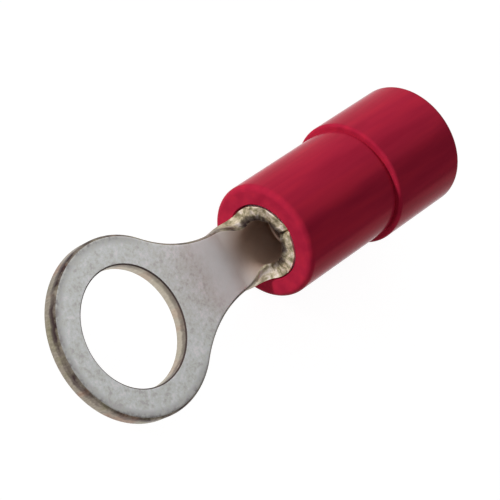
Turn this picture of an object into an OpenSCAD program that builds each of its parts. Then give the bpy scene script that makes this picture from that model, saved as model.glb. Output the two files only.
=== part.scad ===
// Insulated ring terminal for 0.5 to 1.5 mm2 wire and an M5 stud.
// Two pieces: a stamped, rolled and tinned copper body, and a moulded vinyl
// sleeve pushed over its barrel. The origin is the centre of the stud hole on
// the underside of the tongue; +X runs along the wire and +Z is up.

/* [Ring tongue] */
// Diameter of the stud hole
stud_hole_d = 5.3; // [3.7:0.1:6.2]
// Width of the ring
ring_w = 8; // [7:0.1:10]
// Thickness of the copper strip
strip_t = 0.7; // [0.5:0.05:1]
// Width of the neck between ring and barrel
neck_w = 2.9; // [2.2:0.1:3.6]
// Radius of the hollow on each side, from the ring into the neck
neck_hollow_r = 5.9; // [3:0.1:7]

/* [Barrel] */
// Distance from the stud hole's centre to the front rim of the barrel
barrel_x = 7.6; // [7.2:0.05:9]
// Length of the barrel
barrel_l = 5; // [4:0.1:7]
// Bore that takes the bare strands
wire_bore_d = 2; // [1.4:0.05:2.2]
// Length over which the flat neck curls up into the barrel
curl_l = 1.2; // [0.9:0.1:2.4]
// Radius between the neck's edge and the barrel's front rim
wing_fillet_r = 0.5; // [0.2:0.05:0.8]
// Depth of the groove that the butted wings leave along the outside
seam_outer_depth = 0.14; // [0.05:0.01:0.2]
// Depth of the groove that the butted wings leave along the bore
seam_inner_depth = 0.2; // [0.05:0.01:0.25]
// Flare inside the barrel's rear edge
barrel_flare = 0.2; // [0.1:0.05:0.3]
// Grooves across the bore that bite into the strands
serration_count = 3; // [0:4]
// Distance between two such grooves
serration_pitch = 0.8; // [0.5:0.05:0.9]
// Width of one groove
serration_w = 0.3; // [0.2:0.02:0.4]
// Depth of one groove
serration_depth = 0.08; // [0.04:0.01:0.15]

/* [Sleeve] */
// How far the barrel's front rim stands out of the sleeve
rim_show = 0.02; // [0:0.02:0.6]
// Running gap between barrel and sleeve
sleeve_gap = 0.02; // [0.01:0.01:0.1]
// Wall of the sleeve round the barrel
grip_wall = 0.93; // [0.6:0.01:1.3]
// Length of the sleeve's slimmer front part
grip_l = 6.22; // [5.2:0.05:9]
// Length of the wider wire entry
entry_l = 4.6; // [3:0.1:7]
// Bore of the wire entry, which takes the wire's insulation
entry_bore_d = 4.3; // [3.8:0.1:5]
// Wall of the wire entry
entry_wall = 0.75; // [0.5:0.05:1.2]
// Rounding of the sleeve's front edge
front_round = 0.28; // [0.1:0.02:0.5]
// Rounding of the shoulder and of the rear edge
rear_round = 0.22; // [0.05:0.01:0.4]
// Flare of the sleeve's mouth round the barrel's rim
mouth_flare = 0.08; // [0.05:0.01:0.3]
// Length of the cone between the two bores
funnel_l = 1.1; // [0.6:0.1:2]
// Flare inside the sleeve's rear edge
entry_flare = 0.15; // [0.05:0.01:0.3]

/* [Hidden] */
$fn = 96;

copper_tinned = [0.74, 0.74, 0.75];
vinyl_red = [0.72, 0.07, 0.14];

// How far a cutter runs past the face it cuts, and the overlap of two joined
// profiles
past = 0.5;
eps = 0.01;

// Steps along the curl, along the fillet and across the strip
curl_steps = 14;
fillet_steps = 8;
strip_steps = 20;
// How far the curl's ends reach into the neck and into the barrel's wall, and
// how deep below their surfaces
lap = 0.06;
seat = 0.005;

// Tongue
ring_r = ring_w / 2;
neck_r = neck_w / 2;
hollow_y = neck_r + neck_hollow_r;
hollow_x = sqrt(pow(ring_r + neck_hollow_r, 2) - pow(hollow_y, 2));

// Barrel
bore_r = wire_bore_d / 2;
barrel_r = bore_r + strip_t;
mid_r = bore_r + strip_t / 2;
axis_z = barrel_r;
barrel_end = barrel_x + barrel_l;
curl_x = barrel_x - curl_l;

// Sleeve
sleeve_x = barrel_x + rim_show;
grip_bore_r = barrel_r + sleeve_gap;
grip_r = grip_bore_r + grip_wall;
entry_bore_r = entry_bore_d / 2;
entry_r = entry_bore_r + entry_wall;
shoulder_x = sleeve_x + grip_l;
sleeve_end = shoulder_x + entry_l;
funnel_x = shoulder_x - funnel_l + rear_round;

// ---------------------------------------------------------------- terminal

// Triangle between the ring's centre, the neck and the hollow's centre, less
// the hollow itself, so that both arcs meet without a corner.
module neck_hollow() {
    difference() {
        polygon([[0, 0], [hollow_x, 0], [hollow_x, hollow_y]]);
        translate([hollow_x, hollow_y]) circle(neck_hollow_r);
    }
}

// Ring and neck, cut off square where the neck starts to curl.
module tongue_outline() {
    circle(ring_r);
    intersection() {
        union() {
            neck_hollow();
            mirror([0, 1]) neck_hollow();
            translate([0, -neck_r]) square([curl_x, neck_w]);
        }
        translate([0, -hollow_y]) square([curl_x, 2 * hollow_y]);
    }
}

module tongue() {
    difference() {
        linear_extrude(strip_t) tongue_outline();
        translate([0, 0, -past]) cylinder(d = stud_hole_d, h = strip_t + 2 * past);
    }
}

// The strip's cross-section bends at constant length: share 0 is flat and
// share 1 is the barrel's own curve. The middle of the strip stays level.
function smooth(k) = k * k * (3 - 2 * k);
function bend_share(x) = smooth(min(1, max(0, (x - curl_x) / curl_l)));
function degrees(radians) = radians * 180 / PI;

// A point of the bent strip: along is measured from the middle of the strip,
// and lift from its mid-plane.
function strip_point(x, along, lift) =
    let (share = bend_share(x))
    share == 0
        ? [x, along, strip_t / 2 + lift]
        : let (radius = mid_r / share, turn = degrees(along / radius))
          [x, (radius - lift) * sin(turn), strip_t / 2 + radius - (radius - lift) * cos(turn)];

// How far a quarter arc has left its tangent line, this far past the tangent point.
function arc_rise(radius, past_tangent) =
    let (run = min(max(past_tangent, 0), radius))
    radius - sqrt(pow(radius, 2) - pow(run, 2));

// Half the blank's width along the curl: what is left of the hollow, the
// narrowest neck, and the fillet out to the rolled wings.
function blank_half_width(x) =
    neck_r
    + arc_rise(neck_hollow_r, hollow_x - x)
    + arc_rise(wing_fillet_r, x - (barrel_x - wing_fillet_r));

// A lofted skin over cross-sections that all have the same number of points.
module skin(sections) {
    n = len(sections[0]);
    last = len(sections) - 1;
    points = [for (s = sections) for (p = s) p];
    sides = [
        for (i = [0 : last - 1]) for (j = [0 : n - 1])
        let (a = i * n + j, b = i * n + (j + 1) % n)
        each [[a, b, b + n], [a, b + n, a + n]]
    ];
    half = n / 2;
    function cap(first, flip) = [
        for (j = [0 : half - 2])
        let (a = first + j, b = first + j + 1, c = first + n - 2 - j, d = first + n - 1 - j)
        each flip ? [[a, c, b], [a, d, c]] : [[a, b, c], [a, c, d]]
    ];
    polyhedron(points, concat(sides, cap(0, true), cap(last * n, false)), convexity = 6);
}

// Stations along the curl: one inside the neck, even steps up to the fillet,
// steps that bunch up as the fillet turns square to the neck, and one inside
// the barrel's wall.
function curl_stations() = [
    curl_x - lap,
    for (i = [0 : curl_steps]) curl_x + (curl_l - wing_fillet_r) * i / curl_steps,
    for (i = [1 : fillet_steps - 1]) barrel_x - wing_fillet_r * (1 - sin(90 * i / fillet_steps)),
    barrel_x,
    barrel_x + lap
];

// Cross-section of the blank, bent as far as it is at x. Where the curl enters
// the neck and the barrel it is a little smaller all round, so that it lies
// inside them, the three are one solid and the true bore is left alone.
function strip_section(x) =
    let (
        inset = x <= curl_x || x >= barrel_x ? seat : 0,
        width = blank_half_width(x) - inset,
        lift = strip_t / 2 - inset
    )
    concat(
        [for (i = [0 : strip_steps]) strip_point(x, width * (2 * i / strip_steps - 1), lift)],
        [for (i = [0 : strip_steps]) strip_point(x, width * (1 - 2 * i / strip_steps), -lift)]
    );

// From the flat neck to the barrel's curve.
module curl() {
    skin([for (x = curl_stations()) strip_section(x)]);
}

module along_x(x) {
    translate([x, 0, axis_z]) rotate([0, 90, 0]) children();
}

module barrel() {
    difference() {
        along_x(barrel_x) cylinder(r = barrel_r, h = barrel_l);
        along_x(barrel_x - past) cylinder(r = bore_r, h = barrel_l + 2 * past);
        along_x(barrel_end - barrel_flare)
            cylinder(r1 = bore_r, r2 = bore_r + 2 * barrel_flare, h = 2 * barrel_flare);
        for (i = [0 : 1 : serration_count - 1])
            along_x(barrel_x + barrel_l / 2 + (i - (serration_count - 1) / 2) * serration_pitch)
                serration();
        seam_groove(barrel_r, seam_outer_depth);
        seam_groove(bore_r, seam_inner_depth);
    }
}

// One groove round the bore, centred on its own middle.
module serration() {
    cylinder(r = bore_r + serration_depth, h = serration_w, center = true);
}

// V-groove where the rounded edges of the two wings butt together along the
// top of the barrel, on the outside and again in the bore.
module seam_groove(r, depth) {
    side = depth * sqrt(2);
    translate([barrel_x + barrel_l / 2, 0, axis_z + r])
        rotate([45, 0, 0]) cube([barrel_l + 2 * past, side, side], center = true);
}

module terminal_body() {
    color(copper_tinned) {
        tongue();
        curl();
        barrel();
    }
}

// ------------------------------------------------------------------ sleeve

// Takes the corner off a profile whose edge is at r, x; way is -1 at a front
// edge and 1 at a rear edge.
module corner_cut(r, x, radius, way) {
    translate([r - radius, x - way * radius])
        difference() {
            scale([1, way]) square(radius + eps);
            circle(radius);
        }
}

// Half section: radius along x, length along the wire up y.
module sleeve_profile() {
    difference() {
        union() {
            translate([0, sleeve_x]) square([grip_r, grip_l + eps]);
            translate([0, shoulder_x]) square([entry_r, entry_l]);
        }
        polygon([
            [-eps, sleeve_x - eps],
            [grip_bore_r + mouth_flare, sleeve_x - eps],
            [grip_bore_r + mouth_flare, sleeve_x],
            [grip_bore_r, sleeve_x + 2 * mouth_flare],
            [grip_bore_r, funnel_x],
            [entry_bore_r, funnel_x + funnel_l],
            [entry_bore_r, sleeve_end - entry_flare],
            [entry_bore_r + entry_flare, sleeve_end],
            [entry_bore_r + entry_flare, sleeve_end + eps],
            [-eps, sleeve_end + eps]
        ]);
        corner_cut(grip_r, sleeve_x, front_round, -1);
        corner_cut(entry_r, shoulder_x, rear_round, -1);
        corner_cut(entry_r, sleeve_end, rear_round, 1);
    }
}

module insulating_sleeve() {
    color(vinyl_red) along_x(0) rotate_extrude() sleeve_profile();
}

terminal_body();
insulating_sleeve();
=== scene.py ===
"""Insulated ring terminal for a small wire and an M5 stud, dressed for its picture.

A copper strip, stamped to a ring with a neck and two wings, is rolled to a barrel and tinned.
A moulded vinyl sleeve is pushed over the barrel. Both pieces are made again here round the
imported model: the strip is cut flat, gets its rolled-over edges, and is then bent.
"""

import math

import bmesh
import bpy
from mathutils import Matrix, Vector, noise


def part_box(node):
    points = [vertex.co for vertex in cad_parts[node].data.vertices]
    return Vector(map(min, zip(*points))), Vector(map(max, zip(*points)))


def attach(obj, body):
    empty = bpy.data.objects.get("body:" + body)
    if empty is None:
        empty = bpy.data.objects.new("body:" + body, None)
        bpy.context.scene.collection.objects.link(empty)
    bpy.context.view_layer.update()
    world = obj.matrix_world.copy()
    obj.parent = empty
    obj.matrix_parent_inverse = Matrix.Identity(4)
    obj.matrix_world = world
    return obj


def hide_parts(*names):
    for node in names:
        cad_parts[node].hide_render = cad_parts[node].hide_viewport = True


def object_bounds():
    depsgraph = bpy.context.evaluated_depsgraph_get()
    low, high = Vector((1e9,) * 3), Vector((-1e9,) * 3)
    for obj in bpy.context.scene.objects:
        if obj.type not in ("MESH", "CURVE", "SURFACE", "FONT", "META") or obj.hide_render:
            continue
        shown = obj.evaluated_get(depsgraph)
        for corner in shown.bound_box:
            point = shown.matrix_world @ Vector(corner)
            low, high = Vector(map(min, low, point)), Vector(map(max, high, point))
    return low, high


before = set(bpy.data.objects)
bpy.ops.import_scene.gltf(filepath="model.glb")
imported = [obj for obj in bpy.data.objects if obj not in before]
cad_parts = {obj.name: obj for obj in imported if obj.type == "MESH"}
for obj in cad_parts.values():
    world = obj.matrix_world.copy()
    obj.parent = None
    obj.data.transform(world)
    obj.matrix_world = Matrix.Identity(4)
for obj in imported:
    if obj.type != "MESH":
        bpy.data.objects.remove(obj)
cad_low, cad_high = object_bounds()
middle = (cad_low + cad_high) / 2
body_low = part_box("terminal_body")[0]

MM = 0.001

# ------------------------------------------------------------------ sizes, in millimetres

# The strip and the shape that it is stamped to
STRIP_T = 0.7
STUD_HOLE_R = 2.65
RING_R = 4.0
NECK_R = 1.45
HOLLOW_R = 5.9
HOLLOW_Y = NECK_R + HOLLOW_R
HOLLOW_X = math.sqrt((RING_R + HOLLOW_R) ** 2 - HOLLOW_Y**2)
FILLET_R = 0.5
FILLET_Y = NECK_R + FILLET_R

# The barrel that its wings are rolled to
BARREL_X = 7.6
BARREL_L = 5.0
BARREL_END = BARREL_X + BARREL_L
BORE_R = 1.0
MID_R = BORE_R + STRIP_T / 2
BARREL_R = BORE_R + STRIP_T
AXIS_Z = BARREL_R
CURL_L = 1.2
CURL_X = BARREL_X - CURL_L
SEAM_GAP = 0.012
WING = math.pi * MID_R - SEAM_GAP / 2
CORNER_R = 0.3

# How the punch leaves the strip's edges: rolled over outside, crisp in the hole. The flat faces
# keep a narrow border beside them, so that they stay flat in the light
ROLL_OVER = 0.15
HOLE_EDGE = 0.06
UNDER_EDGE = 0.05
BORDER = 0.03

# The nicks that it tears in the wings' front edge: how deep they are, how far their reach is
# back along the barrel and in from the fillet, how many lie on a millimetre, and how many finer
# splinters are on them, with their share of the depth
NICK = 0.14
TORN_BACK = 0.25
TORN_IN = 0.3
NICKS_PER_MM = 3.2
SPLINTERS_PER_MM = 7.1
SPLINTER_SHARE = 0.6

# The grooves across the bore that bite into the strands, with the run of their sides. They end
# a little short of the wings' rolled-over edges
SERRATIONS = 3
SERRATION_PITCH = 0.8
SERRATION_W = 0.3
SERRATION_DEPTH = 0.08
SERRATION_SIDE = 0.04
SERRATION_END = WING - ROLL_OVER - 0.02

# Distances between the cuts that let the flat strip bend: along the curl, along the barrel, from
# a first one behind its torn rim, and round it
CURL_STEP = 0.06
BARREL_STEP = 0.4
FIRST_CUT = 0.2
ROUND_STEP = 0.12

# The sleeve: its slimmer grip on the barrel, whose rim just shows, and its wider wire entry
RIM_SHOW = 0.02
SLEEVE_X = BARREL_X + RIM_SHOW
SLEEVE_GAP = 0.02
GRIP_L = 6.22
GRIP_WALL = 0.93
GRIP_BORE_R = BARREL_R + SLEEVE_GAP
GRIP_R = GRIP_BORE_R + GRIP_WALL
ENTRY_L = 4.6
ENTRY_BORE_R = 2.15
ENTRY_WALL = 0.75
ENTRY_R = ENTRY_BORE_R + ENTRY_WALL
SHOULDER_X = SLEEVE_X + GRIP_L
SLEEVE_END = SHOULDER_X + ENTRY_L
MOUTH_FLARE = 0.08
FRONT_ROUND = 0.28
REAR_ROUND = 0.22
SHOULDER_ROUND = 0.14
CREASE_W = 0.14
CREASE_DEPTH = 0.05
FUNNEL_L = 1.1
FUNNEL_X = SHOULDER_X - FUNNEL_L + REAR_ROUND
ENTRY_FLARE = 0.15
SLEEVE_FACETS = 160
# A short step beside each rounding keeps the long walls straight in the light
SIDE_STEP = 0.04

# Where a finish or a painted shade comes or goes on the flat strip, measured out from the stud's
# axis: the painted shade beside the ring's rolled-over edge, and the shaved wall of the hole
EDGE_SHADE_FROM, EDGE_SHADE_FULL = RING_R - 0.48, RING_R - 0.1
SHAVED_TO, SHAVED_GONE = STUD_HOLE_R + 0.15, STUD_HOLE_R + 0.55
# The same along the strip from that axis: the painted edge shade's end, the scuffed neck with its
# painted highlight, the coat stretched by bending with the bore's painted shade, and the barrel's
# pale rim with its painted highlights
EDGE_SHADE_TO, EDGE_SHADE_GONE = 1.8, 2.9
SCUFF_AND_LIGHT_FROM, SCUFF_AND_LIGHT_FULL = RING_R, CURL_X - 0.8
STRETCH_AND_SHADE_FROM, STRETCH_AND_SHADE_FULL = CURL_X - 0.7, BARREL_X + 0.1
RIM_PALE_LIT_FROM, RIM_PALE_LIT_FULL = CURL_X + 0.1, BARREL_X - 0.2
# The same up through it: the upper face, and the fine line of painted shade under it in the hole
UPPER_FROM, UPPER_FULL = STRIP_T - 0.4, STRIP_T - 0.2
HOLE_SHADE_FROM, HOLE_SHADE_FULL = STRIP_T - 0.09, STRIP_T - 0.05

# Places nearer than this are the same one, in the mesh's own merging and when one is looked up
MERGE = 1e-5
NEAR = 1e-4
# A cut moves no point that lies this near to it
ON_CUT = 1e-6
# The strip is flat at a smaller share of its bend than this
STILL_FLAT = 1e-9
# How upright a face's normal is on the strip's faces, against its edges, and on the flats alone
FACE_UP, FLAT_UP = 0.98, 0.9999

# ------------------------------------------------------------------ studio, in metres and degrees

# The card's lower and upper edge. It stops a little short of overhead
CARD_FOOT = Vector((0, -0.45, 0))
CARD_HEAD = Vector((0, -0.06, 0.6))
CARD_W = 2.4
# Half the floor's side, and how far it lies below what rests on it
FLOOR_HALF = 0.6
FLOOR_GAP = 0.02 * MM
CAMERA_AZIMUTH = -96.665
CAMERA_ELEVATION = 47.98
CAMERA_ROLL = 64.814
CAMERA_DISTANCE = 0.1093
CAMERA_LENS = 183.5
# From the middle of the object's box to the point on the barrel's axis at which it is aimed
CAMERA_AIM = Vector((-0.44, 0.03, 0)) * MM


# ------------------------------------------------------------------ objects and nodes


def add_object(name, data):
    """An object at the origin for a mesh, a lamp or the camera."""
    made = bpy.data.objects.new(name, data)
    bpy.context.scene.collection.objects.link(made)
    return made


def finished_mesh(name, bm):
    """The mesh that a bmesh has been worked up to."""
    mesh = bpy.data.meshes.new(name)
    bm.to_mesh(mesh)
    bm.free()
    return mesh


def srgb(hex_colour):
    """A colour written as sRGB hex, turned to the linear values that a shader reads."""
    parts = [int(hex_colour[i : i + 2], 16) / 255 for i in (1, 3, 5)]
    linear = [c / 12.92 if c <= 0.04045 else ((c + 0.055) / 1.055) ** 2.4 for c in parts]
    return (*linear, 1.0)


def node(tree, kind, settings=None, links=None):
    """Adds a node, sets its properties, colour stops and socket values, and links other nodes'
    outputs into it. A socket goes by its name or its number."""
    made = tree.nodes.new(kind)
    for name, value in (settings or {}).items():
        if name == "stops":
            while len(made.color_ramp.elements) < len(value):
                made.color_ramp.elements.new(0.5)
            for element, (position, colour) in zip(made.color_ramp.elements, value):
                element.position = position
                element.color = srgb(colour)
        elif isinstance(name, str) and hasattr(made, name):
            setattr(made, name, value)
        else:
            made.inputs[name].default_value = value
    for name, source in (links or {}).items():
        tree.links.new(source, made.inputs[name])
    return made


# A Mix node's sockets share their names, so they are called by number: the two numbers or
# colours that it mixes, and its result
NUMBER_A, NUMBER_B, NUMBER = 2, 3, 0
COLOUR_A, COLOUR_B, COLOUR = 6, 7, 2


def new_material(name):
    """A material with nothing in it yet, and its node tree."""
    made = bpy.data.materials.new(name)
    made.use_nodes = True
    made.node_tree.nodes.clear()
    return made, made.node_tree


def per_metre(pattern_mm):
    """Noise scale for a pattern whose features are this many millimetres across."""
    return 1 / (pattern_mm * MM)


# ------------------------------------------------------------------ the copper's two finishes


def place_in_strip(tree):
    """Where a point of the bent strip lay while it was flat, in millimetres: its whole place,
    how far along the strip and how far up through it, and how far out from the stud's axis."""
    flat = node(tree, "ShaderNodeAttribute", {"attribute_name": "flat_place"}).outputs["Vector"]
    parts = node(tree, "ShaderNodeSeparateXYZ", links={0: flat})
    in_plan = node(
        tree,
        "ShaderNodeVectorMath",
        {"operation": "MULTIPLY", 1: (1.0, 1.0, 0.0)},
        {0: flat},
    )
    out = node(tree, "ShaderNodeVectorMath", {"operation": "LENGTH"}, {0: in_plan.outputs[0]})
    return flat, parts.outputs["X"], parts.outputs["Z"], out.outputs["Value"]


def tin_mottle(tree):
    """The unevenness of a thin tin coat: its cloudy patches are about 0.5 mm across, and its
    crystals about 0.15 mm. Gives both mixed, and the crystals alone."""
    place = node(tree, "ShaderNodeTexCoord").outputs["Object"]
    clouds = node(
        tree,
        "ShaderNodeTexNoise",
        {"Scale": per_metre(0.5), "Detail": 2.0, "Roughness": 0.6, "Distortion": 0.6},
        {"Vector": place},
    )
    crystals = node(
        tree,
        "ShaderNodeTexNoise",
        {"Scale": per_metre(0.15), "Detail": 2.0, "Roughness": 0.7},
        {"Vector": place},
    )
    both = node(
        tree,
        "ShaderNodeMix",
        {"data_type": "FLOAT", 0: 0.5},
        {NUMBER_A: clouds.outputs["Fac"], NUMBER_B: crystals.outputs["Fac"]},
    )
    return both.outputs[NUMBER], crystals.outputs["Fac"]


def painted_edge_shade(tree, along, out, mottle):
    """How much painted shade darkens the top face: patches in the last 0.3 mm before the ring's
    rolled-over edge, in place of that edge's dark reflection, and none by the neck."""
    near_edge = node(
        tree,
        "ShaderNodeMapRange",
        {"From Min": EDGE_SHADE_FROM, "From Max": EDGE_SHADE_FULL},
        {"Value": out},
    )
    before_neck = node(
        tree,
        "ShaderNodeMapRange",
        {"From Min": EDGE_SHADE_TO, "From Max": EDGE_SHADE_GONE, "To Min": 1.0, "To Max": 0.0},
        {"Value": along},
    )
    patchy = node(
        tree,
        "ShaderNodeMapRange",
        {"From Min": 0.36, "From Max": 0.62, "To Max": 0.9},
        {"Value": mottle},
    )
    on_ring = node(
        tree,
        "ShaderNodeMath",
        {"operation": "MULTIPLY"},
        {0: near_edge.outputs["Result"], 1: before_neck.outputs["Result"]},
    )
    edge_shade = node(
        tree,
        "ShaderNodeMath",
        {"operation": "MULTIPLY"},
        {0: on_ring.outputs[0], 1: patchy.outputs["Result"]},
    )
    return edge_shade.outputs[0]


def thinned_coat_and_bore_shade(tree, along, up):
    """How far bending stretched the coat, from the neck into the bore, on the upper face only.
    Its browner colour is partly the copper showing through and partly painted shade for the
    bore's dark inside.
    """
    stretched_and_shaded = node(
        tree,
        "ShaderNodeMapRange",
        {
            "interpolation_type": "SMOOTHSTEP",
            "From Min": STRETCH_AND_SHADE_FROM,
            "From Max": STRETCH_AND_SHADE_FULL,
        },
        {"Value": along},
    )
    upper_face = node(
        tree,
        "ShaderNodeMapRange",
        {"From Min": UPPER_FROM, "From Max": UPPER_FULL},
        {"Value": up},
    )
    thinned_and_shaded = node(
        tree,
        "ShaderNodeMath",
        {"operation": "MULTIPLY"},
        {0: stretched_and_shaded.outputs["Result"], 1: upper_face.outputs["Result"]},
    )
    return thinned_and_shaded.outputs[0]


def tinned_copper_rolled_face():
    """Copper strip, cold rolled and then tinned: a satin grey with the faint cool and warm
    mottling of a thin tin coat, darkened by painted shade next to the punched edge, painted paler
    on the neck as a highlight, and browner where the stretched coat lets the copper's colour
    through and painted shade darkens the bore."""
    made, tree = new_material("tinned_copper_rolled_face")
    _, along, up, out = place_in_strip(tree)
    mottle, crystals = tin_mottle(tree)
    tin = node(
        tree,
        "ShaderNodeValToRGB",
        {"stops": [(0.36, "#bcb8b9"), (0.46, "#cecfca"), (0.54, "#d4d6d6"), (0.64, "#e3e0e1")]},
        {"Fac": mottle},
    )
    # Painted shade: near the ring's edge the top face is darkened in patches towards this grey
    edge_shaded = node(
        tree,
        "ShaderNodeMix",
        {"data_type": "RGBA", COLOUR_B: srgb("#706966")},
        {0: painted_edge_shade(tree, along, out, mottle), COLOUR_A: tin.outputs["Color"]},
    )
    # The bending tool scuffed the neck, so the tin is more matt there; its paler colour is a
    # painted highlight for the brightly lit neck
    scuffed_and_lit = node(
        tree,
        "ShaderNodeMapRange",
        {
            "interpolation_type": "SMOOTHSTEP",
            "From Min": SCUFF_AND_LIGHT_FROM,
            "From Max": SCUFF_AND_LIGHT_FULL,
            "To Max": 0.85,
        },
        {"Value": along},
    )
    # Painted highlight: the neck is painted towards near-white
    neck_painted_paler = node(
        tree,
        "ShaderNodeMix",
        {"data_type": "RGBA", COLOUR_B: srgb("#e6e7e8")},
        {0: scuffed_and_lit.outputs["Result"], COLOUR_A: edge_shaded.outputs[COLOUR]},
    )
    # Browner into the bore: partly the stretched coat, partly painted shade
    colour = node(
        tree,
        "ShaderNodeMix",
        {"data_type": "RGBA", COLOUR_B: srgb("#c0a695")},
        {0: thinned_coat_and_bore_shade(tree, along, up), COLOUR_A: neck_painted_paler.outputs[COLOUR]},
    )
    satin = node(
        tree,
        "ShaderNodeMapRange",
        {"From Min": 0.3, "From Max": 0.7, "To Min": 0.33, "To Max": 0.43},
        {"Value": mottle},
    )
    rough = node(
        tree,
        "ShaderNodeMath",
        {"operation": "MULTIPLY_ADD", 1: 0.3},
        {0: scuffed_and_lit.outputs["Result"], 2: satin.outputs["Result"]},
    )
    bump = node(
        tree,
        "ShaderNodeBump",
        {"Strength": 0.3, "Distance": 0.008 * MM},
        {"Height": crystals},
    )
    shader = node(
        tree,
        "ShaderNodeBsdfPrincipled",
        {"Metallic": 1.0},
        {
            "Base Color": colour.outputs[COLOUR],
            "Roughness": rough.outputs[0],
            "Normal": bump.outputs["Normal"],
        },
    )
    node(tree, "ShaderNodeOutputMaterial", links={"Surface": shader.outputs[0]})
    return made


def torn_bronze(tree, drawn):
    """Torn metal with striations across the thickness, about 0.08 mm apart, and bare bronze
    showing through in stretches about 1 mm long. Gives its colour and the striations."""
    striations = node(
        tree,
        "ShaderNodeTexNoise",
        {"Scale": 12.0, "Detail": 3.0, "Roughness": 0.65},
        {"Vector": drawn},
    )
    torn = node(
        tree,
        "ShaderNodeValToRGB",
        {"stops": [(0.30, "#6a5f55"), (0.45, "#8b8072"), (0.58, "#a09587"), (0.72, "#c6baaa")]},
        {"Fac": striations.outputs["Fac"]},
    )
    stretches = node(
        tree,
        "ShaderNodeTexNoise",
        {"Scale": 1.0, "Detail": 2.0, "Roughness": 0.5},
        {"Vector": drawn},
    )
    bare = node(
        tree,
        "ShaderNodeValToRGB",
        {"stops": [(0.38, "#908d6e"), (0.48, "#a39a8c"), (0.55, "#a39a8c"), (0.62, "#a67f6a")]},
        {"Fac": stretches.outputs["Fac"]},
    )
    bronze = node(
        tree,
        "ShaderNodeMix",
        {"data_type": "RGBA", 0: 0.5},
        {COLOUR_A: torn.outputs["Color"], COLOUR_B: bare.outputs["Color"]},
    )
    return bronze.outputs[COLOUR], striations.outputs["Fac"]


def paled_and_highlit_rim(tree, flat, along, bronze):
    """The barrel's rim is torn more coarsely, in grains about 0.3 mm across, and is paler; its
    near-white grains are painted highlights.
    """
    grains = node(
        tree,
        "ShaderNodeTexNoise",
        {"Scale": 3.4, "Detail": 3.0, "Roughness": 0.6, "Distortion": 0.4},
        {"Vector": flat},
    )
    # The palest stops are painted highlights on the rim
    pale_and_highlit = node(
        tree,
        "ShaderNodeValToRGB",
        {"stops": [(0.36, "#918569"), (0.46, "#c6b899"), (0.54, "#e8d8bd"), (0.62, "#fff0e4")]},
        {"Fac": grains.outputs["Fac"]},
    )
    on_rim = node(
        tree,
        "ShaderNodeMapRange",
        {"interpolation_type": "SMOOTHSTEP", "From Min": RIM_PALE_LIT_FROM, "From Max": RIM_PALE_LIT_FULL},
        {"Value": along},
    )
    edge = node(
        tree,
        "ShaderNodeMix",
        {"data_type": "RGBA"},
        {0: on_rim.outputs["Result"], COLOUR_A: bronze, COLOUR_B: pale_and_highlit.outputs["Color"]},
    )
    return edge.outputs[COLOUR]


def painted_edge_line(tree, flat, drawn, up, shaved):
    """How dark the painted shade line is below the top face: a dark band painted along the
    rolled-over edge in place of its dark reflection. Its lower limit wanders with the tearing,
    about every 0.5 mm, between 0.3 and 0.5 mm up. The line fades and returns every millimetre or
    two, and shaving takes a part of it away."""
    wander = node(
        tree,
        "ShaderNodeTexNoise",
        {"Scale": 2.2, "Detail": 4.0, "Roughness": 0.6},
        {"Vector": drawn},
    )
    height = node(
        tree,
        "ShaderNodeMath",
        {"operation": "MULTIPLY_ADD", 1: 0.45},
        {0: wander.outputs["Fac"], 2: up},
    )
    # Painted shade: the dark band along the rolled-over edge
    painted_band = node(
        tree,
        "ShaderNodeValToRGB",
        {"stops": [(0.56, "#000000"), (0.66, "#e0e0e0"), (0.84, "#ffffff"), (0.97, "#5c5c5c")]},
        {"Fac": height.outputs[0]},
    )
    fading = node(
        tree,
        "ShaderNodeTexNoise",
        {"Scale": 0.8, "Detail": 3.0, "Roughness": 0.6, "Distortion": 0.3},
        {"Vector": flat},
    )
    held = node(
        tree,
        "ShaderNodeMapRange",
        {"From Min": 0.36, "From Max": 0.56, "To Min": 0.3, "To Max": 1.0},
        {"Value": fading.outputs["Fac"]},
    )
    left_by_shaving = node(tree, "ShaderNodeMath", {"operation": "SUBTRACT", 0: 1.0}, {1: shaved})
    kept = node(
        tree,
        "ShaderNodeMath",
        {"operation": "MULTIPLY"},
        {0: held.outputs["Result"], 1: left_by_shaving.outputs[0]},
    )
    line = node(
        tree,
        "ShaderNodeMath",
        {"operation": "MULTIPLY"},
        {0: painted_band.outputs["Color"], 1: kept.outputs[0]},
    )
    return line.outputs[0]


def painted_hole_line(tree, up, in_hole):
    """How dark the one fine line of painted shade is right under the top face, in the shaved
    hole.
    """
    under_face = node(
        tree,
        "ShaderNodeMapRange",
        {"From Min": HOLE_SHADE_FROM, "From Max": HOLE_SHADE_FULL, "To Max": 0.9},
        {"Value": up},
    )
    line = node(
        tree,
        "ShaderNodeMath",
        {"operation": "MULTIPLY"},
        {0: under_face.outputs["Result"], 1: in_hole},
    )
    return line.outputs[0]


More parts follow.
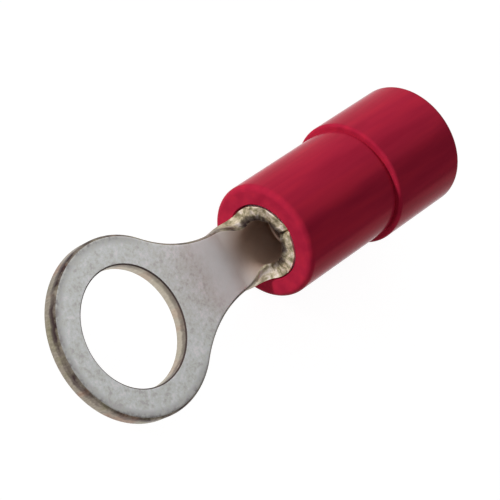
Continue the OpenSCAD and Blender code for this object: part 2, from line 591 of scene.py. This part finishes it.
def sheared_copper_edge():
    """The strip's punched edge, tinned with the rest: a dark uneven line of painted shade along
    the rolled-over top, then torn, finely striated and bronze below, and pale on the barrel's rim
    with painted highlights. All its patterns are on the flat strip, so their scales are per
    millimetre."""
    made, tree = new_material("sheared_copper_edge")
    flat, along, up, out = place_in_strip(tree)
    # Tearing draws the patterns out across the thickness, so they change little on the way up
    drawn = node(
        tree,
        "ShaderNodeVectorMath",
        {"operation": "MULTIPLY", 1: (1.0, 1.0, 0.35)},
        {0: flat},
    ).outputs[0]
    bronze, striations = torn_bronze(tree, drawn)
    edge = paled_and_highlit_rim(tree, flat, along, bronze)
    # The stud hole is shaved to size after punching, so its wall is cleaner and paler
    in_hole = node(
        tree,
        "ShaderNodeMapRange",
        {"From Min": SHAVED_TO, "From Max": SHAVED_GONE, "To Min": 1.0, "To Max": 0.0},
        {"Value": out},
    ).outputs["Result"]
    shaved = node(
        tree,
        "ShaderNodeMath",
        {"operation": "MULTIPLY", 1: 0.36},
        {0: in_hole},
    ).outputs[0]
    wall = node(
        tree,
        "ShaderNodeMix",
        {"data_type": "RGBA", COLOUR_B: srgb("#e6ddcb")},
        {0: shaved, COLOUR_A: edge},
    )
    painted_lines = node(
        tree,
        "ShaderNodeMath",
        {"operation": "MAXIMUM"},
        {
            0: painted_edge_line(tree, flat, drawn, up, shaved),
            1: painted_hole_line(tree, up, in_hole),
        },
    )
    # Painted shade: both dark lines are painted in this dark colour
    colour = node(
        tree,
        "ShaderNodeMix",
        {"data_type": "RGBA", COLOUR_B: srgb("#403133")},
        {0: painted_lines.outputs[0], COLOUR_A: wall.outputs[COLOUR]},
    )
    bump = node(
        tree,
        "ShaderNodeBump",
        {"Strength": 0.5, "Distance": 0.02 * MM},
        {"Height": striations},
    )
    shader = node(
        tree,
        "ShaderNodeBsdfPrincipled",
        {"Metallic": 1.0, "Roughness": 0.45},
        {"Base Color": colour.outputs[COLOUR], "Normal": bump.outputs["Normal"]},
    )
    node(tree, "ShaderNodeOutputMaterial", links={"Surface": shader.outputs[0]})
    return made


# ------------------------------------------------------------------ the terminal's copper body


def bend_share(x):
    """How far the strip is bent at x: 0 is flat and 1 is the barrel's own curve."""
    k = min(1.0, max(0.0, (x - CURL_X) / CURL_L))
    return k * k * (3 - 2 * k)


def bent(flat):
    """Where a point of the flat strip goes when its wings are rolled."""
    share = bend_share(flat.x)
    if share < STILL_FLAT:
        return flat.copy()
    radius = MID_R / share
    turn = flat.y / radius
    arm = radius - (flat.z - STRIP_T / 2)
    return Vector((flat.x, arm * math.sin(turn), STRIP_T / 2 + radius - arm * math.cos(turn)))


def swing(bm, start, centre, angle, steps):
    """Carries an outline on from its last point along an arc, and returns the new last point."""
    arc = bmesh.ops.spin(
        bm,
        geom=[start],
        cent=(*centre, 0),
        axis=(0, 0, 1),
        angle=angle,
        steps=steps,
        use_duplicate=False,
    )
    return [v for v in arc["geom_last"] if isinstance(v, bmesh.types.BMVert)][0]


def straight(bm, start, *places):
    """Carries an outline on from its last point along straight lines through these places, and
    returns the new last point."""
    last = start
    for place in places:
        last = bmesh.ops.extrude_vert_indiv(bm, verts=[last])["verts"][0]
        last.co = (*place, 0)
    return last


def stamp_half_blank(bm):
    """The blank's outline on one side of its middle line: ring, hollow, neck, fillet and wing."""
    meet = math.atan2(HOLLOW_Y, HOLLOW_X)
    tip = bmesh.ops.create_vert(bm, co=(-RING_R, 0, 0))["vert"][0]
    last = swing(bm, tip, (0, 0), meet - math.pi, steps=66)
    last = swing(bm, last, (HOLLOW_X, HOLLOW_Y), math.pi / 2 - meet, steps=24)
    last = straight(bm, last, (BARREL_X - FILLET_R, NECK_R))
    last = swing(bm, last, (BARREL_X - FILLET_R, FILLET_Y), math.pi / 2, steps=10)
    last = straight(bm, last, (BARREL_X, WING - CORNER_R))
    last = swing(bm, last, (BARREL_X + CORNER_R, WING - CORNER_R), -math.pi / 2, steps=8)
    last = straight(bm, last, (BARREL_END, WING), (BARREL_END, 0), (STUD_HOLE_R, 0))
    last = swing(bm, last, (0, 0), math.pi, steps=60)
    bm.edges.new((last, tip))
    bmesh.ops.contextual_create(bm, geom=bm.edges[:])


def is_hole(edge):
    """True for an edge on the rim of the stud hole."""
    halfway = (edge.verts[0].co + edge.verts[1].co) / 2
    return halfway.xy.length < STUD_HOLE_R + NEAR


def outline_edges(bm, height, hole):
    """The edges round the blank's top or underside, of the hole or of the outside."""
    return [
        e
        for e in bm.edges
        if all(abs(v.co.z - height) < NEAR for v in e.verts)
        and any(abs(f.normal.z) < FACE_UP for f in e.link_faces)
        and is_hole(e) == hole
    ]


def round_edges(bm, edges, radius, segments):
    """Takes the corner off these edges with an arc."""
    bmesh.ops.bevel(
        bm,
        geom=edges,
        offset=radius,
        offset_type="OFFSET",
        segments=segments,
        profile=0.5,
        affect="EDGES",
        material=-1,
        clamp_overlap=True,
    )


def cut_across(bm, normal, start, end, step, past=None):
    """Cuts the strip with evenly spaced planes, so that it can follow a curve. Faces that don't
    lie past the given x are left whole."""
    count = max(1, round((end - start) / step))
    for i in range(count + 1):
        place = Vector(normal) * (start + (end - start) * i / count)
        faces = [f for f in bm.faces if past is None or f.calc_center_median().x > past]
        geom = set(faces)
        for f in faces:
            geom.update(f.edges)
            geom.update(f.verts)
        bmesh.ops.bisect_plane(bm, geom=list(geom), dist=ON_CUT, plane_co=place, plane_no=normal)


def press_serrations(bm):
    """Presses the strand grooves across the upper face, short of the wings' edges."""
    halfway = BARREL_X + BARREL_L / 2
    flat_floor = SERRATION_W - 2 * SERRATION_SIDE
    for i in range(SERRATIONS):
        centre = halfway + (i - (SERRATIONS - 1) / 2) * SERRATION_PITCH
        for width in (SERRATION_W, flat_floor):
            cut_across(bm, (1, 0, 0), centre - width / 2, centre + width / 2, width)
        for vert in bm.verts:
            on_top = vert.co.z > STRIP_T - NEAR
            in_groove = abs(vert.co.x - centre) < flat_floor / 2 + NEAR
            if on_top and in_groove and abs(vert.co.y) < SERRATION_END:
                vert.co.z -= SERRATION_DEPTH


def tear_rim(bm):
    """Roughens the wings' front edge, which the punch tore, most at the edge itself. The ring,
    which is as wide, lies well in front of it."""
    for vert in bm.verts:
        behind = (vert.co.x - BARREL_X) / TORN_BACK
        beside = (abs(vert.co.y) - FILLET_Y) / TORN_IN
        on_wing = vert.co.x > CURL_X and beside > 0
        if on_wing and behind < 1:
            nicks = noise.noise(vert.co * NICKS_PER_MM)
            splinters = noise.noise(vert.co * SPLINTERS_PER_MM)
            ragged = max(0.0, nicks + SPLINTER_SHARE * splinters)
            vert.co.x += NICK * ragged * min(1.0, beside) * (1 - max(0.0, behind))


def roll_terminal():
    """The whole copper body: stamped flat, edges rolled over, then its wings bent to a barrel.
    Each point keeps its flat place for the finishes. Slot 0 is the faces', slot 1 the edges'."""
    bm = bmesh.new()
    stamp_half_blank(bm)
    half = bm.faces[:] + bm.edges[:] + bm.verts[:]
    bmesh.ops.mirror(bm, geom=half, matrix=Matrix(), merge_dist=MERGE, axis="Y")
    bmesh.ops.remove_doubles(bm, verts=bm.verts[:], dist=MERGE)
    raised = bmesh.ops.extrude_face_region(bm, geom=bm.faces[:])
    top = [g for g in raised["geom"] if isinstance(g, bmesh.types.BMVert)]
    bmesh.ops.translate(bm, verts=top, vec=(0, 0, STRIP_T))
    bmesh.ops.recalc_face_normals(bm, faces=bm.faces[:])
    round_edges(bm, outline_edges(bm, STRIP_T, hole=False), ROLL_OVER, segments=5)
    round_edges(bm, outline_edges(bm, 0.0, hole=False), UNDER_EDGE, segments=3)
    round_edges(bm, outline_edges(bm, STRIP_T, hole=True), HOLE_EDGE, segments=3)
    round_edges(bm, outline_edges(bm, 0.0, hole=True), UNDER_EDGE, segments=3)
    for face in bm.faces:
        face.material_index = 0 if abs(face.normal.z) > FACE_UP else 1
    flats = [f for f in bm.faces if abs(f.normal.z) > FLAT_UP]
    bmesh.ops.inset_region(bm, faces=flats, thickness=BORDER, use_even_offset=True)
    cut_across(bm, (1, 0, 0), CURL_X, BARREL_X, CURL_STEP)
    cut_across(bm, (1, 0, 0), BARREL_X + FIRST_CUT, BARREL_END, BARREL_STEP)
    half_round = math.pi * MID_R
    cut_across(bm, (0, 1, 0), -half_round, half_round, ROUND_STEP, past=CURL_X)
    press_serrations(bm)
    tear_rim(bm)
    flat_place = bm.verts.layers.float_vector.new("flat_place")
    for vert in bm.verts:
        vert[flat_place] = vert.co
        vert.co = bent(vert.co) * MM
    return finished_mesh("terminal_body_dressed", bm)


# ------------------------------------------------------------------ the vinyl sleeve


def moulded_red_vinyl():
    """Plasticised vinyl, injection moulded on a polished core: crimson, glossy and slightly
    soft, with faint flow lines along the pull of the mould. Its gloss is red rather than white,
    so a small metallic weight and a tint stand for the pigment's own sheen."""
    made, tree = new_material("moulded_red_vinyl")
    place = node(tree, "ShaderNodeTexCoord").outputs["Object"]
    # Flow lines run with the wire, about 0.5 mm apart and many times as long
    drawn = node(tree, "ShaderNodeMapping", {"Scale": (0.12, 1.0, 1.0)}, {"Vector": place})
    flow = node(
        tree,
        "ShaderNodeTexNoise",
        {"Scale": per_metre(0.5), "Detail": 2.0, "Roughness": 0.5},
        {"Vector": drawn.outputs[0]},
    )
    colour = node(
        tree,
        "ShaderNodeValToRGB",
        {"stops": [(0.30, "#aa203b"), (0.50, "#b3243f"), (0.70, "#bd2740")]},
        {"Fac": flow.outputs["Fac"]},
    )
    bump = node(
        tree,
        "ShaderNodeBump",
        {"Strength": 0.08, "Distance": 0.02 * MM},
        {"Height": flow.outputs["Fac"]},
    )
    shader = node(
        tree,
        "ShaderNodeBsdfPrincipled",
        {
            "Metallic": 0.08,
            "Roughness": 0.16,
            "IOR": 1.5,
            "Specular IOR Level": 0.02,
            "Specular Tint": srgb("#ff6d80"),
        },
        {"Base Color": colour.outputs["Color"], "Normal": bump.outputs["Normal"]},
    )
    node(tree, "ShaderNodeOutputMaterial", links={"Surface": shader.outputs[0]})
    return made


def sleeve_section(bm):
    """Half section of the sleeve above the wire's axis: a closed outline, drawn from the mouth
    round the outside to the rear edge and back along the bores."""
    quarter = -math.pi / 2
    front_centre = (SLEEVE_X + FRONT_ROUND, GRIP_R - FRONT_ROUND)
    shoulder_centre = (SHOULDER_X + SHOULDER_ROUND, ENTRY_R - SHOULDER_ROUND)
    rear_centre = (SLEEVE_END - REAR_ROUND, ENTRY_R - REAR_ROUND)
    mouth = (SLEEVE_X, GRIP_BORE_R + MOUTH_FLARE, 0)
    start = bmesh.ops.create_vert(bm, co=mouth)["vert"][0]
    last = straight(bm, start, (SLEEVE_X, front_centre[1]))
    last = swing(bm, last, front_centre, quarter, steps=10)
    last = straight(
        bm,
        last,
        (front_centre[0] + SIDE_STEP, GRIP_R),
        (SHOULDER_X - CREASE_W - SIDE_STEP, GRIP_R),
        (SHOULDER_X - CREASE_W, GRIP_R),
        (SHOULDER_X - CREASE_W / 2, GRIP_R - CREASE_DEPTH),
        (SHOULDER_X, GRIP_R - CREASE_DEPTH),
        (SHOULDER_X, shoulder_centre[1]),
    )
    last = swing(bm, last, shoulder_centre, quarter, steps=8)
    last = straight(
        bm,
        last,
        (shoulder_centre[0] + SIDE_STEP, ENTRY_R),
        (rear_centre[0] - SIDE_STEP, ENTRY_R),
        (rear_centre[0], ENTRY_R),
    )
    last = swing(bm, last, rear_centre, quarter, steps=8)
    last = straight(
        bm,
        last,
        (SLEEVE_END, ENTRY_BORE_R + ENTRY_FLARE),
        (SLEEVE_END - ENTRY_FLARE, ENTRY_BORE_R),
        (FUNNEL_X + FUNNEL_L, ENTRY_BORE_R),
        (FUNNEL_X, GRIP_BORE_R),
        (SLEEVE_X + 2 * MOUTH_FLARE, GRIP_BORE_R),
    )
    bm.edges.new((last, start))


def mould_sleeve():
    """The section turned round the wire's axis."""
    bm = bmesh.new()
    sleeve_section(bm)
    bmesh.ops.spin(
        bm,
        geom=bm.verts[:] + bm.edges[:],
        cent=(0, 0, 0),
        axis=(1, 0, 0),
        angle=2 * math.pi,
        steps=SLEEVE_FACETS,
        use_merge=True,
    )
    bmesh.ops.remove_doubles(bm, verts=bm.verts[:], dist=MERGE)
    bmesh.ops.recalc_face_normals(bm, faces=bm.faces[:])
    bmesh.ops.translate(bm, verts=bm.verts[:], vec=(0, 0, AXIS_Z))
    bmesh.ops.scale(bm, verts=bm.verts[:], vec=(MM, MM, MM))
    return finished_mesh("insulating_sleeve_dressed", bm)


# ------------------------------------------------------------------ putting the pieces in place


def place_piece(name, mesh, materials, sharp_above):
    """A finished mesh as an object, smooth but for its edges sharper than this many degrees."""
    for material in materials:
        mesh.materials.append(material)
    mesh.polygons.foreach_set("use_smooth", [True] * len(mesh.polygons))
    mesh.set_sharp_from_angle(angle=math.radians(sharp_above))
    mesh.update()
    return add_object(name, mesh)


copper = [tinned_copper_rolled_face(), sheared_copper_edge()]
terminal = place_piece("terminal_body_dressed", roll_terminal(), copper, sharp_above=50)
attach(terminal, "root")
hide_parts("terminal_body")

vinyl = [moulded_red_vinyl()]
sleeve = place_piece("insulating_sleeve_dressed", mould_sleeve(), vinyl, sharp_above=40)
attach(sleeve, "root")
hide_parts("insulating_sleeve")


# ------------------------------------------------------------------ floor, light and camera


def lit_and_shown(tree, lit, shown):
    """Mixes two shaders by ray: the first is what lights things, and the second what shows in
    the camera, off gloss and through glass."""
    path = node(tree, "ShaderNodeLightPath")
    plain_or_mirrored = node(
        tree,
        "ShaderNodeMath",
        {"operation": "ADD"},
        {0: path.outputs["Is Camera Ray"], 1: path.outputs["Is Glossy Ray"]},
    )
    to_the_eye = node(
        tree,
        "ShaderNodeMath",
        {"operation": "ADD", "use_clamp": True},
        {0: plain_or_mirrored.outputs[0], 1: path.outputs["Is Transmission Ray"]},
    )
    mixed = node(
        tree,
        "ShaderNodeMixShader",
        links={0: to_the_eye.outputs[0], 1: lit.outputs[0], 2: shown.outputs[0]},
    )
    return mixed.outputs[0]


def white_paper_sweep():
    """Matt white paper. It glows white to the eye, and a share of its diffuse light keeps the
    object's shadow."""
    made, tree = new_material("white_paper_sweep")
    lit = node(tree, "ShaderNodeBsdfDiffuse", {"Color": srgb("#d8d8d8")})
    faint = node(tree, "ShaderNodeBsdfDiffuse", {"Color": srgb("#8c8c8c")})
    glow = node(tree, "ShaderNodeEmission", {"Color": srgb("#ffffff"), "Strength": 0.94})
    shown = node(tree, "ShaderNodeAddShader", links={0: faint.outputs[0], 1: glow.outputs[0]})
    node(tree, "ShaderNodeOutputMaterial", links={"Surface": lit_and_shown(tree, lit, shown)})
    return made


def lay_floor():
    """A wide sheet that touches the ring's tip and the sleeve's lower front edge, on which the
    part rests."""
    tip = body_low.x
    drop = body_low.z - (AXIS_Z - GRIP_R) * MM
    slope = math.atan2(drop, (SLEEVE_X + FRONT_ROUND) * MM - tip)
    bm = bmesh.new()
    bmesh.ops.create_grid(bm, x_segments=1, y_segments=1, size=FLOOR_HALF)
    bmesh.ops.rotate(bm, verts=bm.verts[:], cent=(0, 0, 0), matrix=Matrix.Rotation(slope, 3, "Y"))
    bmesh.ops.translate(bm, verts=bm.verts[:], vec=(tip, 0, body_low.z - FLOOR_GAP))
    mesh = finished_mesh("floor", bm)
    mesh.materials.append(white_paper_sweep())
    add_object("floor", mesh)


def studio_world():
    """White to the eye and off the metal, and a dim even fill for everything else."""
    world = bpy.data.worlds.new("studio")
    bpy.context.scene.world = world
    world.use_nodes = True
    tree = world.node_tree
    tree.nodes.clear()
    fill = node(tree, "ShaderNodeBackground", {"Color": srgb("#ffffff"), "Strength": 0.37})
    white = node(tree, "ShaderNodeBackground", {"Color": srgb("#ffffff"), "Strength": 1.0})
    node(tree, "ShaderNodeOutputWorld", links={"Surface": lit_and_shown(tree, fill, white)})


def hang_softbox(name, direction, distance, size, power):
    """A square soft lamp that faces the object's middle. It is flagged off from bare metal, which
    would glare white where it lies between the lamp and the eye."""
    lamp = bpy.data.lights.new(name, "AREA")
    lamp.shape = "SQUARE"
    lamp.size = size
    lamp.energy = power
    made = add_object(name, lamp)
    toward = Vector(direction).normalized()
    made.location = middle + toward * distance
    made.rotation_euler = toward.to_track_quat("Z", "Y").to_euler()
    made.visible_camera = False
    made.visible_glossy = False


def matt_grey_card():
    """Matt card, dark to the light and mid grey off gloss."""
    made, tree = new_material("matt_grey_card")
    lit = node(tree, "ShaderNodeBsdfDiffuse", {"Color": srgb("#3c3c3c")})
    shown = node(tree, "ShaderNodeEmission", {"Color": srgb("#aaaaaa"), "Strength": 1.0})
    node(tree, "ShaderNodeOutputMaterial", links={"Surface": lit_and_shown(tree, lit, shown)})
    return made


def lean_card():
    """A large grey card that leans in over the part from one side, as a studio sets one up to
    draw an edge along glossy goods."""
    slant = CARD_HEAD - CARD_FOOT
    lean = math.atan2(slant.z, slant.y)
    bm = bmesh.new()
    bmesh.ops.create_grid(bm, x_segments=1, y_segments=1, size=0.5)
    bmesh.ops.scale(bm, verts=bm.verts[:], vec=(CARD_W, slant.length, 1))
    bmesh.ops.rotate(bm, verts=bm.verts[:], cent=(0, 0, 0), matrix=Matrix.Rotation(lean, 3, "X"))
    bmesh.ops.translate(bm, verts=bm.verts[:], vec=(CARD_FOOT + CARD_HEAD) / 2)
    mesh = finished_mesh("grey_card", bm)
    mesh.materials.append(matt_grey_card())
    made = add_object("grey_card", mesh)
    made.visible_camera = False


def stand_camera():
    """A long lens over the ring, aimed along the tongue at the barrel's mouth and turned on its
    own axis until the ring is low on the left."""
    azimuth = math.radians(CAMERA_AZIMUTH)
    elevation = math.radians(CAMERA_ELEVATION)
    roll = math.radians(CAMERA_ROLL)
    back = Vector(
        (
            math.sin(azimuth) * math.cos(elevation),
            -math.cos(azimuth) * math.cos(elevation),
            math.sin(elevation),
        )
    )
    level = Vector((math.cos(azimuth), math.sin(azimuth), 0))
    above = level.cross(-back)
    right = level * math.cos(roll) + above * math.sin(roll)
    up = above * math.cos(roll) - level * math.sin(roll)
    aim = Vector((middle.x, middle.y, AXIS_Z * MM)) + CAMERA_AIM
    camera = bpy.data.cameras.new("camera")
    camera.sensor_width = 36
    camera.lens = CAMERA_LENS
    camera.clip_start = 0.001
    camera.clip_end = 10
    made = add_object("camera", camera)
    turn = Matrix((right, up, back)).transposed().to_4x4()
    made.matrix_world = Matrix.Translation(aim + back * CAMERA_DISTANCE) @ turn
    bpy.context.scene.camera = made


lay_floor()
studio_world()
hang_softbox("key_softbox", (-0.66, 0.75, 0.08), distance=0.8, size=0.16, power=8.2)
hang_softbox("low_fill_softbox", (-0.1, -0.9, 0.25), distance=0.28, size=0.2, power=0.17)
lean_card()
stand_camera()
bpy.context.scene.view_settings.view_transform = "Standard"
